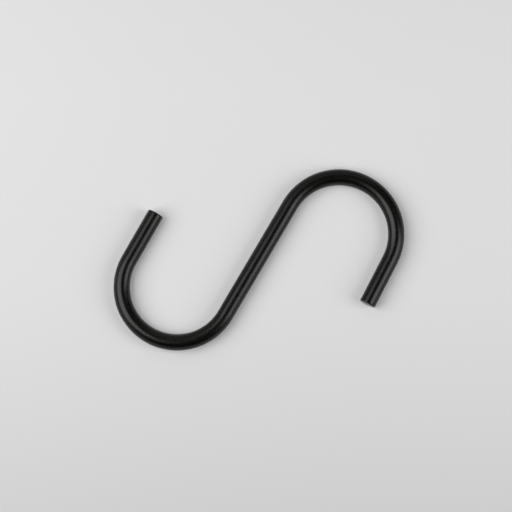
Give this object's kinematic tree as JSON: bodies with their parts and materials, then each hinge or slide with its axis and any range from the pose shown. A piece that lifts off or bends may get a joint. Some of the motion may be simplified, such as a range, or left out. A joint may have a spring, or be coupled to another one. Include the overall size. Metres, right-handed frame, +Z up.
{
  "type": "s hook",
  "caption": "Flat S-shaped hook bent from round steel rod with a satin black coating: a straight shank between opposed U bends, short straight legs, and flat cut ends with rounded rims.",
  "frame": {"origin": "middle of the box round the hook, on the flat surface that it lies on", "axes": "+Z up from that surface; +Y along the straight shank towards the upper hook; +X from the shank to the upper hook's leg"},
  "size_m": [0.0746, 0.0782, 0.005],
  "materials": {
    "black_coat": "satin black powder coat"
  },
  "bodies": {
    "root": {"hook": "black_coat"}
  },
  "joints": []
}
